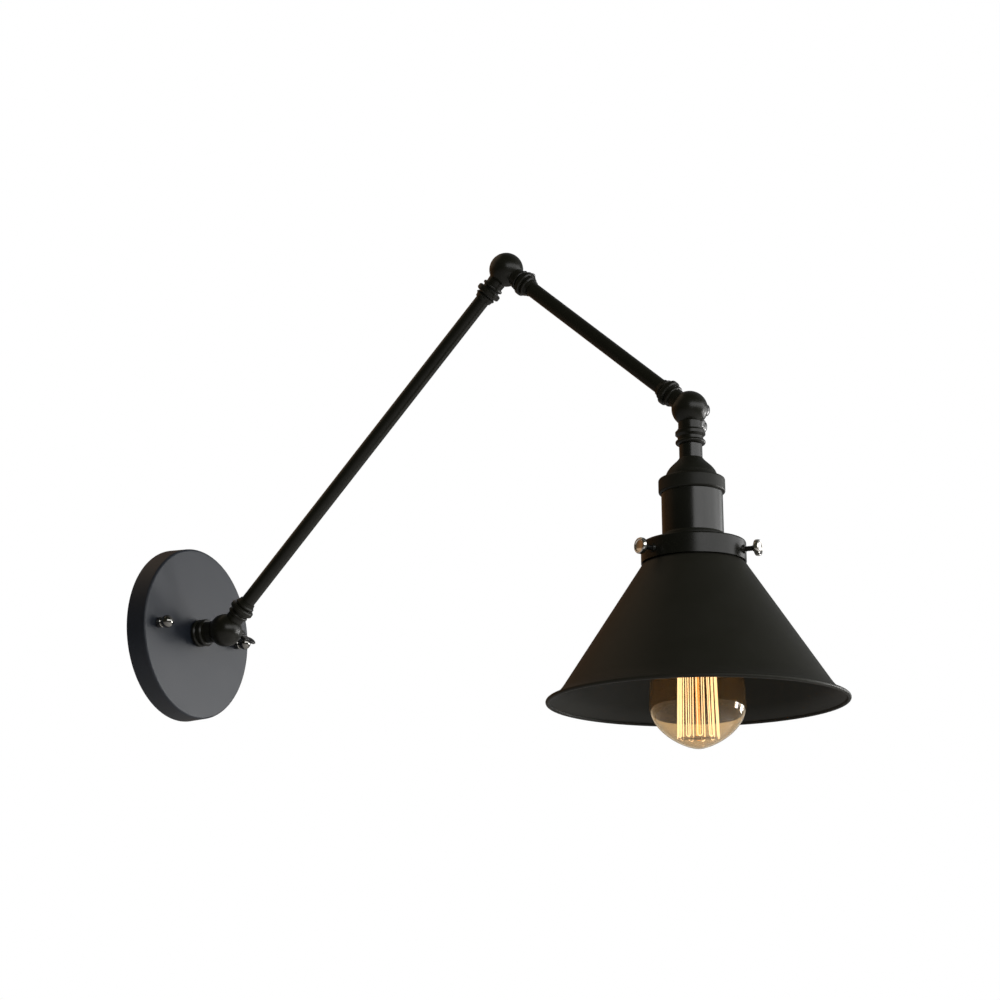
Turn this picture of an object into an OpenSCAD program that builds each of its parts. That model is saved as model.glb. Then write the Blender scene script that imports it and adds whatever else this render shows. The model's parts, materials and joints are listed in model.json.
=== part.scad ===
// Swing-arm wall lamp: a round wall plate, two hollow arms on three ball knuckles,
// a cone shade on a screw lampholder, and a squirrel-cage bulb.
// The wall is the plane y = 0, the room is on the -Y side, and the origin is the middle of the plate's back.
// All three knuckles turn about axes along X. Lengths are in millimetres.

/* [Wall plate] */
// Diameter of the wall plate
plate_d = 116; // [104:1:140]
// Depth of the wall plate from the wall to its face
plate_depth = 14.4; // [13:0.2:20]
// Sheet thickness of the wall plate
plate_sheet = 1.2; // [0.8:0.1:1.6]
// Distance between the two ball nuts
nut_pitch = 86; // [84:1:92]
// Diameter of the ball of each nut
nut_ball_d = 8.5; // [7:0.5:10]
// Width of the mounting strap
strap_w = 20; // [18:1:26]
// Thickness of the mounting strap
strap_t = 2; // [1.5:0.1:2.5]
// Pitch of the two slots for the wall box screws
box_pitch = 61; // [58:0.5:62]
// Length of each slot in the strap
slot_length = 13.4; // [8:0.2:14]

/* [Arms] */
// Long arm, hinge to hinge
long_arm = 304.8; // [200:0.2:420]
// Short arm, hinge to hinge
short_arm = 170; // [130:1:260]
// Angle by which the long arm rises out of the wall plate
long_arm_rise = 45; // [20:1:60]
// Angle by which the short arm falls from the elbow
short_arm_fall = 42; // [15:1:60]
// Outer diameter of both arm tubes
tube_d = 9.5; // [8:0.5:11]
// Wall of both arm tubes
tube_wall = 1; // [0.8:0.1:1.4]

/* [Knuckles] */
// Diameter of the split balls
ball_d = 22; // [20:0.5:26]
// Wall of the hollow half balls
ball_wall = 2.4; // [1.8:0.1:2.8]
// Diameter of the clamping screw that is the hinge pin
pivot_d = 4; // [3:0.5:5]
// Thickness of the friction washer between two half balls
washer_t = 1; // [0.8:0.1:1.4]
// Turn of the base knuckle each way from straight
base_limit = 90; // [60:1:95]
// Turn of the elbow each way from straight
elbow_limit = 100; // [60:1:105]
// Turn of the head knuckle each way from straight
head_limit = 90; // [60:1:95]
// Reach of the fixed knuckle's hinge in front of the wall plate
base_stem = 22.5; // [21:0.5:30]
// Span of each wing screw over its two wings
wing_span = 18; // [13:0.2:20]

/* [Lampholder] */
// Outer diameter of the lampholder's sleeve
sleeve_d = 36.8; // [34:0.2:42]
// Length of the sleeve that shows between its cap and the shade ring
sleeve_show = 30.3; // [24:0.1:44]
// Length of the plain neck under the head knuckle's collars
neck_length = 8.5; // [5:0.1:20]
// Height of the cap over the sleeve, its flange included
cap_height = 22; // [19:0.2:28]
// Outer diameter of the shade ring that carries the shade
holder_d = 62.6; // [58:0.2:72]
// Height of the shade ring
holder_height = 12.4; // [12:0.2:18]
// Sheet thickness of the lampholder's metal parts and the shade ring
holder_sheet = 1; // [0.8:0.1:1.4]

/* [Shade] */
// Diameter of the shade over its rolled rim
shade_d = 177.8; // [140:0.2:260]
// Height of the shade from the shade ring to its rim
shade_height = 84; // [60:1:130]
// Sheet thickness of the shade
shade_sheet = 1; // [0.8:0.1:1.4]
// Diameter of the bead rolled round the rim
rim_bead_d = 2.6; // [2.2:0.1:4]
// Width of the flared band at the rim, across the radius
flare_width = 10.6; // [6:0.2:16]
// Height of the flared band at the rim
flare_height = 10.4; // [6:0.2:16]

/* [Bulb] */
// Largest diameter of the glass
bulb_d = 57; // [45:1:64]
// Length of the bulb from its contact to its tip
bulb_length = 138; // [130:1:150]
// Thread diameter of the bulb's cap
bulb_cap_d = 26; // [25:0.5:27]
// Height of the bulb's cap with its contact
bulb_cap_height = 26; // [24:0.5:27]
// Number of hooks at each end of the filament cage
cage_hooks = 11; // [7:1:13]
// Diameter of the filament cage at its lower hooks
cage_d = 24.6; // [18:0.2:26]

/* [Hidden] */
$fn = 64;

// Clearances, the one overrun of every cut, the steps in each curved outline, and the broken edge of
// a turned head as a share of its height
snug = 0.05;
run = 0.06;
moving_gap = 0.3;
over = 1;
curve_steps = 10;
corner_steps = 6;
edge_share = 0.25;

// Wall plate, its strap and its fasteners
plate_r = plate_d / 2;
plate_draft = 0.6;
plate_edge_r = 1.6;
stud_r = 2;
stud_head_r = 3.2;
stud_head_t = 2.2;
nut_base_r = 3.5;
nut_base_h = 3.6;
nut_wall = 1.6;
nut_base_edge = 0.45;
strap_step = 3;
strap_step_run = 1;
strap_pad = 7.5;
slot_r = 2.3;
strap_hole_r = 7.2;
strap_corner_r = 3;
ground_r = 1.9;
ground_head_r = 4;
ground_head_t = 2.4;
ground_slot_w = 1;
ground_slot_depth = 1.2;
nipple_r = 4.9;
nipple_bore_r = 3.5;
nipple_tail = 6;
nipple_bite = 7;
hex_nut_r = 8.1;
hex_nut_t = 3;
tooth_washer_t = 0.8;
tooth_washer_r = 8.4;
tooth_count = 12;
tooth_w = 1.2;
tooth_depth = 1.8;
stud_x = nut_pitch / 2;
pad_start = stud_x - stud_head_r - strap_step_run;
strap_half = stud_x + strap_pad;
plate_inside = plate_depth - plate_sheet;
stud_end = plate_depth + nut_base_h + nut_ball_d - nut_wall - stud_r;
ground_x = (strap_hole_r + box_pitch / 2 - slot_length / 2) / 2;

// Places of the three hinges and the directions between them
function along(rise) = [0, -cos(rise), sin(rise)];
base_hinge = [0, -(plate_depth + base_stem), 0];
elbow_hinge = base_hinge + long_arm * along(long_arm_rise);
head_hinge = elbow_hinge + short_arm * along(-short_arm_fall);

// Split balls
ball_r = ball_d / 2;
cavity_r = ball_r - ball_wall;
pivot_r = pivot_d / 2;
seam = 0.2;
boss_wall = 2;
boss_r = pivot_r + boss_wall;
washer_inset = 0.2;
washer_r = boss_r - washer_inset;
boss_face = washer_t / 2 + snug;
blind_end = 2;
spot_r = 4.6;
spot_x = sqrt(ball_r * ball_r - spot_r * spot_r);
peg_r = 1.2;
peg_orbit = (boss_r + cavity_r) / 2;
peg_reach = 2.2;
peg_clear = 0.6;
stop_gap_angle = 1.5;
peg_angle = asin(peg_r / peg_orbit);

// Turned collars on the arm stems, as distances from the hinge and radii
tube_r = tube_d / 2;
wire_r = tube_r - tube_wall;
core_wall = 1;
core_r = tube_r + core_wall;
root_spread = 0.9;
stem_neck = 2;
lip_at = ball_r + stem_neck;
lip_w = 2.2;
lip_rise = 2.3;
lip_r = tube_r + lip_rise;
lip_gap = 1.4;
collar_at = lip_at + lip_w + lip_gap;
collar_w = 3.6;
collar_rise = 3.4;
collar_r = tube_r + collar_rise;
collar_edge = 0.7;
collar_gap = 0.7;
ferrule_at = collar_at + collar_w + collar_gap;
ferrule_w = 4;
ferrule_rise = 1.9;
ferrule_r = tube_r + ferrule_rise;
ferrule_tip_rise = 0.7;
ferrule_tip_r = tube_r + ferrule_tip_rise;
tube_in = collar_at;

// Thicker collars of the fixed knuckle and of the head knuckle
thick_core_wall = 2.3;
thick_core_r = nipple_r + thick_core_wall;
thick_ring_wall = 4.2;
thick_ring_r = nipple_r + thick_ring_wall;
thick_ring_edge = 0.9;
base_ring_w = 4;
base_flange_w = 3.2;
base_groove_w = 0.9;
base_groove_wall = 3;
base_groove_r = nipple_r + base_groove_wall;
head_stem_neck = 2;
head_ring_w = 5.4;
head_groove_w = 1.4;
head_groove_wall = 2.8;
head_groove_r = nipple_r + head_groove_wall;
head_bead_w = 3;
head_collar_end = ball_r + head_stem_neck + head_ring_w + head_groove_w + head_bead_w;

// Wing screws: plane of the wings, and the angle at which each stands, measured up from the room side
wing_t = 2.2;
wing_lobe_r = 3.9;
wing_height = 17;
hub_r = 3.2;
hub_flange_r = 4.2;
hub_flange_t = 1;
hub_height = 6.5;
base_wing_angle = -40;
elbow_wing_angle = 20;
head_wing_angle = 78;

// Lampholder stations, as distances below the head hinge
sleeve_r = sleeve_d / 2;
neck_wall = 2.1;
neck_r = nipple_r + neck_wall;
neck_end = head_collar_end + neck_length;
cap_end = neck_end + cap_height;
flange_rise = 1.6;
flange_h = 9.2;
flange_edge = 1.4;
flange_r = sleeve_r + flange_rise;
flange_slope_h = 1.6;
dome_wall = 1.6;
dome_floor = 4;
dome_spread = 0.2;
dome_top_r = neck_r + dome_spread;
dome_inset = 2.8;
dome_r = sleeve_r - dome_inset;
dome_h = cap_height - flange_h - flange_slope_h;
dome_curve_shares = [0.17, 0.26, 0.86, 0.5];
sleeve_grip = 7.6;
sleeve_top = cap_end - sleeve_grip;
ring_at = cap_end + sleeve_show;
bead_w = 5;
bead_rise = 0.7;
bead_land = 0.2;
ring_nut_t = 3;
ring_nut_w = 3;
sleeve_tail = 15;
sleeve_end = ring_at + sleeve_tail;
sleeve_lip_w = 1.8;
holder_r = holder_d / 2;
holder_end = ring_at + holder_height;
holder_edge = 1.3;
shade_lip_gap = 1.2;

// Socket inside the sleeve
body_r = sleeve_r - holder_sheet - snug;
body_rim = 3;
body_sink = 1.4;
body_top = cap_end - body_sink;
body_end = sleeve_end - holder_sheet - snug;
contact_back = 15;
contact_at = ring_at - contact_back;
shell_wall = 0.5;
shell_gap = 0.3;
shell_in_r = bulb_cap_d / 2 + shell_gap;
shell_r = shell_in_r + shell_wall;
shell_floor_gap = 1.2;
shell_top = contact_at + shell_floor_gap;
shell_floor_r = 6;
tongue_w = 5;
tongue_t = 0.6;
tongue_length = 11;
tongue_at = contact_at - moving_gap - tongue_t;
terminal_r = 1.6;
terminal_head_r = 2.8;
terminal_head_t = 1.6;
terminal_length = 6;
terminal_x = 9.5;
bracket_hole_r = 5.2;

// Shade
shade_r = shade_d / 2;
neck_wall_gap = 1.6;
shade_neck_r = holder_r - holder_sheet - neck_wall_gap;
shade_lip_w = 1.1;
shade_neck_top = ring_at + holder_sheet + shade_lip_gap;
shade_shoulder_h = 1.4;
shade_cone_top = holder_end + shade_shoulder_h;
shade_cone_inset = 0.3;
shade_cone_r = holder_r - shade_cone_inset;
rim_at = holder_end + shade_height;
bead_r = rim_bead_d / 2;
flare_lead_share = 0.4;
flare_rise_share = 0.6;

// Thumb screws of the shade
screw_r = 1.5;
screw_up = 5.4;
screw_at = holder_end - screw_up;
screw_angles = [-86, 34, 154];
screw_head_r = 4.9;
screw_head_t = 3.4;
screw_neck_r = 2.6;
screw_neck_t = 1.2;
screw_head_gap = 5.8;
screw_boss_r = 3;
screw_boss_t = 1.2;
screw_dish_r = 3;
screw_dish_depth = 0.6;
screw_tip_gap = 0.1;

// Bulb, as distances below the head hinge
bulb_r = bulb_d / 2;
glass_wall = 0.8;
glass_top = contact_at + bulb_cap_height;
bulb_tip = contact_at + bulb_length;
glass_inset = 0.9;
glass_neck_r = bulb_cap_d / 2 - glass_inset;
glass_reach_share = 0.24;
tip_curve_shares = [0.24, 1.01, 0.33];
side_curve_shares = [0.38, 0.42];
cap_wall = 0.5;
cap_round = 1.2;
cap_skirt_h = 5;
insulator_h = 4.6;
button_r = 4.6;
button_h = 1.6;
insulator_rim = 1;
stem_flare_h = 8;
stem_gap = 0.1;
stem_r = 4;
stem_press_h = 16;
rod_r = 1.2;
cage_top_share = 0.4;
cage_top = glass_top + (bulb_tip - glass_top) * cage_top_share;
cage_tip_gap = 5.2;
cage_end = bulb_tip - cage_tip_gap;
cage_taper_share = 0.85;
cage_top_d = cage_d * cage_taper_share;
hook_r = 0.25;
strand_r = 0.25;
knot_r = 0.45;
wire_facets = 12;
collar_ring_r = 2.2;
collar_ring_h = 2.4;

// Finish colours
black = [0.09, 0.09, 0.09];
nickel = [0.75, 0.75, 0.72];
brass = [0.78, 0.62, 0.3];
steel = [0.6, 0.62, 0.64];
amber = [0.95, 0.75, 0.45, 0.35];

// Turns a piece drawn up +Z so that it points from the wall into the room
module out_of_wall() rotate([90, 0, 0]) children();

// Puts a piece drawn up +Z at a point, pointing along an arm that rises by the angle
module pointing(place, rise) translate(place) rotate([90 - rise, 0, 0]) children();

// Hangs a piece drawn as distances below the head hinge
module below_head() translate(head_hinge) rotate([180, 0, 0]) children();

// Turned shapes up +Z
module drum(at, end, r) translate([0, 0, at]) cylinder(h = end - at, r = r);

module taper(at, end, r1, r2) translate([0, 0, at]) cylinder(h = end - at, r1 = r1, r2 = r2);

module ring(at, w, r, edge) rotate_extrude()
    polygon([[0, at], [r - edge, at], [r, at + edge], [r, at + w - edge], [r - edge, at + w], [0, at + w]]);

module round_ring(at, w, r) rotate_extrude() {
    translate([0, at]) square([r - w / 2, w]);
    translate([r - w / 2, at + w / 2]) circle(d = w);
}

module pipe(at, end, r, bore) difference() {
    drum(at, end, r);
    drum(at - over, end + over, bore);
}

module hex_nut(at, t, r, bore) difference() {
    translate([0, 0, at]) cylinder(h = t, r = r, $fn = 6);
    drum(at - over, at + t + over, bore);
}

// A point on a cubic curve, and the curve as a list of points
function curve_point(p, u) = pow(1 - u, 3) * p[0] + 3 * pow(1 - u, 2) * u * p[1]
    + 3 * (1 - u) * u * u * p[2] + u * u * u * p[3];
function curve(p, steps) = [for (i = [0:steps]) curve_point(p, i / steps)];
function reversed(list) = [for (i = [len(list) - 1:-1:0]) list[i]];

// Rounded outer corner of an outline at a radius and a height, from one angle to another: 90 faces up
// the list of heights and -90 faces down it
function corner(r, at, edge, from, to) = [for (i = [0:corner_steps])
    let (a = from + (to - from) * i / corner_steps, inside = from + to > 0 ? at + edge : at - edge)
    [r - edge + edge * cos(a), inside - edge * sin(a)]];

// Block round the ball that begins at a plane across X, on its -X side or its +X side
module beyond(side, face) {
    block = 2 * ball_d;
    translate([side > 0 ? face : face - block, -block / 2, -block / 2]) cube(block);
}

// Cylinder along X from one x to another
module pin_x(from, to, r) translate([from, 0, 0]) rotate([0, 90, 0]) cylinder(h = to - from, r = r);

// One half of a split ball with its stem up +Z, drawn on the -X side and turned round for the +X side.
// The threaded half takes the end of the wing screw and holds the stop peg. The other half lets the
// screw through and holds two stop pins. The stem is whole beyond the ball, and is relieved where
// the other half turns under it.
module knuckle_half(threaded, limit) rotate([0, 0, threaded ? 0 : 180]) union() {
    difference() {
        union() {
            intersection() {
                sphere(r = ball_r);
                beyond(-1, -seam / 2);
            }
            difference() {
                children(0);
                intersection() {
                    sphere(r = ball_r + moving_gap);
                    beyond(1, -seam / 2);
                }
            }
        }
        hollow();
        children(1);
        if (threaded) {
            pin_x(-ball_r + blind_end, 0, pivot_r + run);
        } else {
            pin_x(-ball_r - over, 0, pivot_r + run);
            beyond(-1, -spot_x);
        }
    }
    if (threaded) stop_peg();
    else stop_pins(limit);
}

// Space inside a half ball for the wires, round the boss of the screw
module hollow() difference() {
    intersection() {
        sphere(r = cavity_r);
        beyond(-1, over);
    }
    pin_x(-ball_r, -boss_face, boss_r);
}

// Inner end of a peg or pin that is rooted in the wall of the hollow half ball
peg_root = -sqrt(cavity_r * cavity_r - peg_orbit * peg_orbit) - ball_wall / 2;

// Peg opposite the stem that keeps the wires from being twisted off
module stop_peg() translate([0, 0, -peg_orbit]) pin_x(peg_root, peg_reach, peg_r);

// Two pins that the peg meets at the ends of the turn
module stop_pins(limit) for (s = [-1, 1]) rotate([s * (limit + 2 * peg_angle + stop_gap_angle), 0, 0])
    translate([0, 0, peg_orbit]) pin_x(peg_root, -peg_clear, peg_r);

// Stem of an arm: neck, thin lip, collar and the ferrule that grips the tube
module arm_stem() {
    taper(0, lip_at, core_r + root_spread, core_r);
    drum(lip_at, ferrule_at, core_r);
    round_ring(lip_at, lip_w, lip_r);
    ring(collar_at, collar_w, collar_r, collar_edge);
    ring(ferrule_at, ferrule_w / 2, ferrule_r, collar_edge);
    taper(ferrule_at + ferrule_w / 2, ferrule_at + ferrule_w, ferrule_r - collar_edge, ferrule_tip_r);
}

module arm_stem_bore() {
    drum(0, tube_in + over, wire_r);
    drum(tube_in, ferrule_at + ferrule_w + over, tube_r + snug);
}

module arm_knuckle(threaded, limit) knuckle_half(threaded, limit) {
    arm_stem();
    arm_stem_bore();
}

// Stem of the fixed knuckle: two heavy rings that seat on the wall plate
module base_stem_turning() {
    flange_at = base_stem - base_flange_w - snug;
    ring_top = flange_at - base_groove_w;
    drum(0, ring_top, thick_core_r);
    ring(ring_top - base_ring_w, base_ring_w, thick_ring_r, thick_ring_edge);
    drum(ring_top - over, flange_at + over, base_groove_r);
    ring(flange_at, base_flange_w, thick_ring_r, thick_ring_edge);
}

module base_stem_bore() {
    drum(0, base_stem - nipple_bite, nipple_bore_r);
    drum(base_stem - nipple_bite, base_stem + over, nipple_r + snug);
}

// Stem of the head knuckle: a ring and a bead over the plain neck
module head_stem_turning() {
    ring_top = ball_r + head_stem_neck;
    bead_top = ring_top + head_ring_w + head_groove_w;
    drum(0, bead_top, thick_core_r);
    ring(ring_top, head_ring_w, thick_ring_r, 2 * thick_ring_edge);
    drum(ring_top, bead_top + over, head_groove_r);
    round_ring(bead_top, head_bead_w, thick_ring_r);
}

module head_stem_bore() {
    drum(0, head_collar_end - nipple_bite, nipple_bore_r);
    drum(head_collar_end - nipple_bite, head_collar_end + over, nipple_r + snug);
}

// Friction washer in the pocket between the two bosses
module friction_washer(hinge) color(steel) translate(hinge) difference() {
    pin_x(-washer_t / 2, washer_t / 2, washer_r);
    pin_x(-washer_t, washer_t, pivot_r + moving_gap);
}

// Wing screw drawn along +X, with its wings along +Y and -Y
module wing_screw(hinge, angle) color(black) translate(hinge) rotate([180 - angle, 0, 0]) {
    pin_x(-ball_r + blind_end + moving_gap, spot_x + over, pivot_r);
    pin_x(spot_x + snug, spot_x + snug + hub_flange_t, hub_flange_r);
    pin_x(spot_x + snug, spot_x + hub_height, hub_r);
    translate([0, 0, -wing_t / 2]) linear_extrude(wing_t) wing_outline();
}

module wing_outline() {
    lobe_x = spot_x + wing_height - wing_lobe_r;
    lobe_y = wing_span / 2 - wing_lobe_r;
    for (s = [-1, 1]) translate([lobe_x, s * lobe_y]) circle(r = wing_lobe_r);
    polygon([[spot_x + hub_flange_t, -hub_r], [lobe_x, -lobe_y - wing_lobe_r],
        [lobe_x + wing_lobe_r / 2, -lobe_y], [spot_x + hub_height, 0],
        [lobe_x + wing_lobe_r / 2, lobe_y], [lobe_x, lobe_y + wing_lobe_r],
        [spot_x + hub_flange_t, hub_r]]);
}

// Strap: flat on the wall in the middle, stepped forward at both ends over the heads of the studs
module mounting_strap() color(steel) out_of_wall() difference() {
    intersection() {
        rotate([90, 0, 0]) translate([0, 0, -strap_w / 2]) linear_extrude(strap_w) polygon([
            [-pad_start, 0], [pad_start, 0], [pad_start + strap_step_run, strap_step],
            [strap_half, strap_step], [strap_half, strap_step + strap_t],
            [pad_start + strap_step_run - strap_t, strap_step + strap_t], [pad_start - strap_t, strap_t],
            [-pad_start + strap_t, strap_t], [-pad_start - strap_step_run + strap_t, strap_step + strap_t],
            [-strap_half, strap_step + strap_t], [-strap_half, strap_step],
            [-pad_start - strap_step_run, strap_step]]);
        union() {
            cube([2 * (strap_half - strap_corner_r), strap_w, plate_depth * 2], center = true);
            cube([2 * strap_half, strap_w - 2 * strap_corner_r, plate_depth * 2], center = true);
            for (x = [-1, 1], y = [-1, 1])
                translate([x * (strap_half - strap_corner_r), y * (strap_w / 2 - strap_corner_r), 0])
                    cylinder(h = plate_depth * 2, r = strap_corner_r, center = true);
        }
    }
    drum(-over, plate_depth, strap_hole_r);
    translate([ground_x, 0, 0]) drum(-over, plate_depth, ground_r + snug);
    for (s = [-1, 1]) {
        translate([s * stud_x, 0, 0]) drum(-over, plate_depth, stud_r + snug);
        for (e = [-1, 1]) translate([s * box_pitch / 2 + e * (slot_length / 2 - slot_r), 0, 0])
            drum(-over, plate_depth, slot_r);
        translate([s * box_pitch / 2 - slot_length / 2 + slot_r, -slot_r, -over])
            cube([slot_length - 2 * slot_r, 2 * slot_r, plate_depth]);
    }
}

// Slotted earth screw in the strap
module ground_screw() color([0.2, 0.5, 0.25]) out_of_wall() translate([ground_x, 0, 0]) difference() {
    union() {
        drum(snug, strap_t + over, ground_r);
        ring(strap_t + snug, ground_head_t, ground_head_r, ground_head_t * edge_share);
    }
    translate([-ground_head_r - over, -ground_slot_w / 2, strap_t + ground_head_t - ground_slot_depth])
        cube([2 * (ground_head_r + over), ground_slot_w, plate_depth]);
}

// Two screws from behind the strap's ends, which reach through the wall plate
module plate_studs() color(steel) out_of_wall() for (s = [-1, 1]) translate([s * stud_x, 0, 0]) {
    ring(strap_step - stud_head_t - snug, stud_head_t, stud_head_r, stud_head_t * edge_share);
    drum(strap_step - over, stud_end - moving_gap, stud_r);
}

// Drawn sheet dish with a rounded edge, open to the wall
module wall_plate() color(black) out_of_wall() difference() {
    rotate_extrude() dish_outline(plate_r, plate_depth, plate_edge_r);
    translate([0, 0, -over]) rotate_extrude()
        dish_outline(plate_r - plate_sheet, plate_inside + over, plate_edge_r - plate_sheet / 2);
    drum(0, plate_depth + over, nipple_r + moving_gap);
    for (s = [-1, 1]) translate([s * stud_x, 0, 0]) drum(0, plate_depth + over, stud_r + moving_gap);
}

module dish_outline(r, h, edge)
    polygon(concat([[0, 0], [r, 0]], corner(r - plate_draft, h, edge, 0, -90), [[0, h]]));

// Cap nuts with a ball end
module ball_nuts() color(nickel) out_of_wall() for (s = [-1, 1]) translate([s * stud_x, 0, 0])
    difference() {
        union() {
            ring(plate_depth + snug, nut_base_h, nut_base_r, nut_base_edge);
            translate([0, 0, plate_depth + nut_base_h + nut_ball_d / 2 - nut_wall / 2])
                sphere(d = nut_ball_d);
        }
        drum(plate_depth - over, stud_end, stud_r + snug);
    }

// Hollow threaded nipple that holds the fixed knuckle to the wall plate
module base_nipple() color(steel) out_of_wall()
    pipe(nipple_tail, plate_depth + nipple_bite - snug, nipple_r, nipple_bore_r);

module nipple_washer() color(steel) out_of_wall() difference() {
    drum(plate_inside - tooth_washer_t - snug, plate_inside - snug, tooth_washer_r);
    drum(0, plate_depth, nipple_r + snug);
    for (i = [0:tooth_count - 1]) rotate(i * 360 / tooth_count)
        translate([tooth_washer_r - tooth_depth, -tooth_w / 2, 0])
            cube([tooth_depth + over, tooth_w, plate_depth]);
}

module nipple_nut() color(steel) out_of_wall()
    hex_nut(plate_inside - tooth_washer_t - hex_nut_t - 2 * snug, hex_nut_t, hex_nut_r, nipple_r + snug);

// Knuckle of the wall plate, fixed, with its stem to the wall
module base_knuckle() color(black) pointing(base_hinge, 180) knuckle_half(true, base_limit) {
    base_stem_turning();
    base_stem_bore();
}

module base_friction_washer() friction_washer(base_hinge);
module base_wing_screw() wing_screw(base_hinge, base_wing_angle);

module long_arm_base_knuckle() color(black) pointing(base_hinge, long_arm_rise)
    arm_knuckle(false, base_limit);

module long_arm_tube() color(black) pointing(base_hinge, long_arm_rise)
    pipe(tube_in + snug, long_arm - tube_in - snug, tube_r, wire_r);

module long_arm_elbow_knuckle() color(black) pointing(elbow_hinge, 180 + long_arm_rise)
    arm_knuckle(true, elbow_limit);

module elbow_friction_washer() friction_washer(elbow_hinge);
module elbow_wing_screw() wing_screw(elbow_hinge, elbow_wing_angle);

module short_arm_elbow_knuckle() color(black) pointing(elbow_hinge, -short_arm_fall)
    arm_knuckle(false, elbow_limit);

module short_arm_tube() color(black) pointing(elbow_hinge, -short_arm_fall)
    pipe(tube_in + snug, short_arm - tube_in - snug, tube_r, wire_r);

module short_arm_head_knuckle() color(black) pointing(head_hinge, 180 - short_arm_fall)
    arm_knuckle(true, head_limit);

module head_friction_washer() friction_washer(head_hinge);
module head_wing_screw() wing_screw(head_hinge, head_wing_angle);

module head_knuckle() color(black) pointing(head_hinge, -90) knuckle_half(false, head_limit) {
    head_stem_turning();
    head_stem_bore();
}

// Nipple that ties the head knuckle, the neck and the cap together
module head_nipple() color(steel) below_head()
    pipe(head_collar_end - nipple_bite + snug, neck_end + dome_floor + hex_nut_t + over,
        nipple_r, nipple_bore_r);

module neck_sleeve() color(black) below_head()
    pipe(head_collar_end + snug, neck_end - snug, neck_r, nipple_r + snug);

// Spun cap: a dome that flares from the neck to a flange over the sleeve
dome_curve = [[dome_top_r, neck_end],
    [dome_top_r + (dome_r - dome_top_r) * dome_curve_shares[0], neck_end + dome_h * dome_curve_shares[1]],
    [dome_top_r + (dome_r - dome_top_r) * dome_curve_shares[2], neck_end + dome_h * dome_curve_shares[3]],
    [dome_r, neck_end + dome_h]];

module socket_cap() color(black) below_head() rotate_extrude()
    polygon(concat([[nipple_r + snug, neck_end]], curve(dome_curve, curve_steps),
        corner(flange_r, cap_end - flange_h, flange_edge, 90, 0),
        corner(flange_r, cap_end, flange_edge, 0, -90),
        [[sleeve_r + snug, cap_end], [sleeve_r + snug, sleeve_top - snug],
        [dome_r - dome_wall, sleeve_top - snug], [dome_r - dome_wall, sleeve_top - dome_wall],
        [hex_nut_r + moving_gap, neck_end + dome_floor], [nipple_r + snug, neck_end + dome_floor]]));

module cap_nut() color(steel) below_head()
    hex_nut(neck_end + dome_floor + snug, hex_nut_t, hex_nut_r, nipple_r + snug);

// Sleeve screwed into the cap's flange, with a lip that holds the socket body in
module socket_sleeve() color(black) below_head() {
    pipe(sleeve_top, sleeve_end, sleeve_r, sleeve_r - holder_sheet);
    pipe(sleeve_end - holder_sheet, sleeve_end, sleeve_r - holder_sheet / 2,
        sleeve_r - holder_sheet - sleeve_lip_w);
}

// Low arched band round the sleeve, just above the shade ring
module sleeve_bead() color(black) below_head() rotate_extrude() polygon(concat(
    [[sleeve_r + snug, ring_at - snug], [sleeve_r + snug, ring_at - snug - bead_w]],
    [for (i = [-corner_steps:corner_steps]) let (u = i / corner_steps)
        [sleeve_r + bead_land + bead_rise * (1 - u * u), ring_at - snug - bead_w / 2 + u * bead_w / 2]]));

// Ring nut on the sleeve, hidden under the shade ring
module ring_nut() color(steel) below_head() {
    pipe(ring_at + holder_sheet + snug, ring_at + holder_sheet + snug + ring_nut_t,
        sleeve_r + ring_nut_w, sleeve_r + snug);
}

// Shade ring: a pressed cup with a flat top and three screw bosses
module shade_ring() color(black) below_head() difference() {
    union() {
        rotate_extrude() polygon(concat([[sleeve_r + snug, ring_at]],
            corner(holder_r, ring_at, holder_edge, 90, 0),
            [[holder_r, holder_end], [holder_r - holder_sheet, holder_end],
            [holder_r - holder_sheet, ring_at + holder_sheet], [sleeve_r + snug, ring_at + holder_sheet]]));
        for (a = screw_angles) at_screw(a) taper(holder_r - holder_sheet / 2, holder_r + screw_boss_t,
            screw_boss_r, screw_boss_r - collar_edge);
    }
    for (a = screw_angles) at_screw(a) drum(holder_r - holder_sheet - over, holder_r + screw_boss_t + over,
        screw_r + run);
}

// Points a piece drawn up +Z outward from the head's axis at one of the thumb screws
module at_screw(angle) rotate([0, 0, -angle]) translate([0, 0, screw_at]) rotate([0, 90, 0]) children();

// Porcelain body of the socket, clamped between the cap and the lip of the sleeve. Its rim stands
// round the terminals, and its bore holds the screw shell.
module socket_body() color([0.92, 0.9, 0.86]) below_head() difference() {
    ring(sleeve_top + snug, body_end - sleeve_top - snug, body_r, collar_edge);
    drum(sleeve_top - over, body_top, body_r - body_rim);
    drum(shell_top, body_end + over, shell_r + snug);
    drum(body_top - over, shell_top + over, bracket_hole_r);
    translate([-tongue_w / 2 - snug, -tongue_w / 2 - snug, tongue_at - snug])
        cube([tongue_length + 2 * snug, tongue_w + 2 * snug, shell_top - tongue_at + over]);
    for (s = [-1, 1]) translate([0, s * terminal_x, 0])
        drum(body_top - over, body_top + terminal_length + moving_gap, terminal_r + snug);
}

module screw_shell() color(brass) below_head() rotate_extrude() polygon([
    [shell_floor_r, shell_top + snug], [shell_r, shell_top + snug], [shell_r, body_end - collar_edge],
    [shell_in_r, body_end - collar_edge], [shell_in_r, shell_top + shell_wall + snug],
    [shell_floor_r, shell_top + shell_wall + snug]]);

// Spring tongue that meets the bulb's contact
module centre_contact() color(brass) below_head()
    translate([-tongue_w / 2, -tongue_w / 2, tongue_at]) cube([tongue_length, tongue_w, tongue_t]);

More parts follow.
